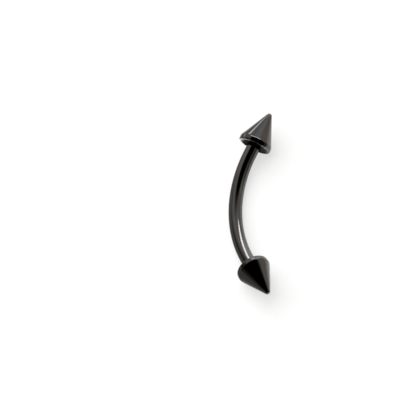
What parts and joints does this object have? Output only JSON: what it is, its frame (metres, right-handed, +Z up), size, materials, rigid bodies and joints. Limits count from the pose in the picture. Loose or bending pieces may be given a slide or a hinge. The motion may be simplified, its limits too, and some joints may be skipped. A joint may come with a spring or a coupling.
{
  "type": "curved eyebrow barbell",
  "caption": "Short curved barbell for an eyebrow piercing: a round bent bar with a blunt-tipped cone screwed onto each end.",
  "frame": {"origin": "centre of the part's bounding box in X and Y, on the surface it rests on", "axes": "+Z up from that surface, +Y along the bar's chord towards the upper cone, +X towards the open side of the bend"},
  "size_m": [0.0036, 0.0178, 0.0029],
  "materials": {
    "bar_steel": "polished, black PVD coated",
    "cone_steel": "polished, black PVD coated"
  },
  "bodies": {
    "bar": {"bar": "bar_steel"},
    "upper_cone": {"upper_cone": "cone_steel"},
    "lower_cone": {"lower_cone": "cone_steel"}
  },
  "joints": [
    {"name": "upper_cone_unscrew", "type": "slide", "parent": "bar", "child": "upper_cone", "axis": [0.4263, 0.8763, 0.2245], "range_m": [0, 0.0025]},
    {"name": "lower_cone_unscrew", "type": "slide", "parent": "bar", "child": "lower_cone", "axis": [0.4263, -0.8763, 0.2245], "range_m": [0, 0.0025]}
  ]
}
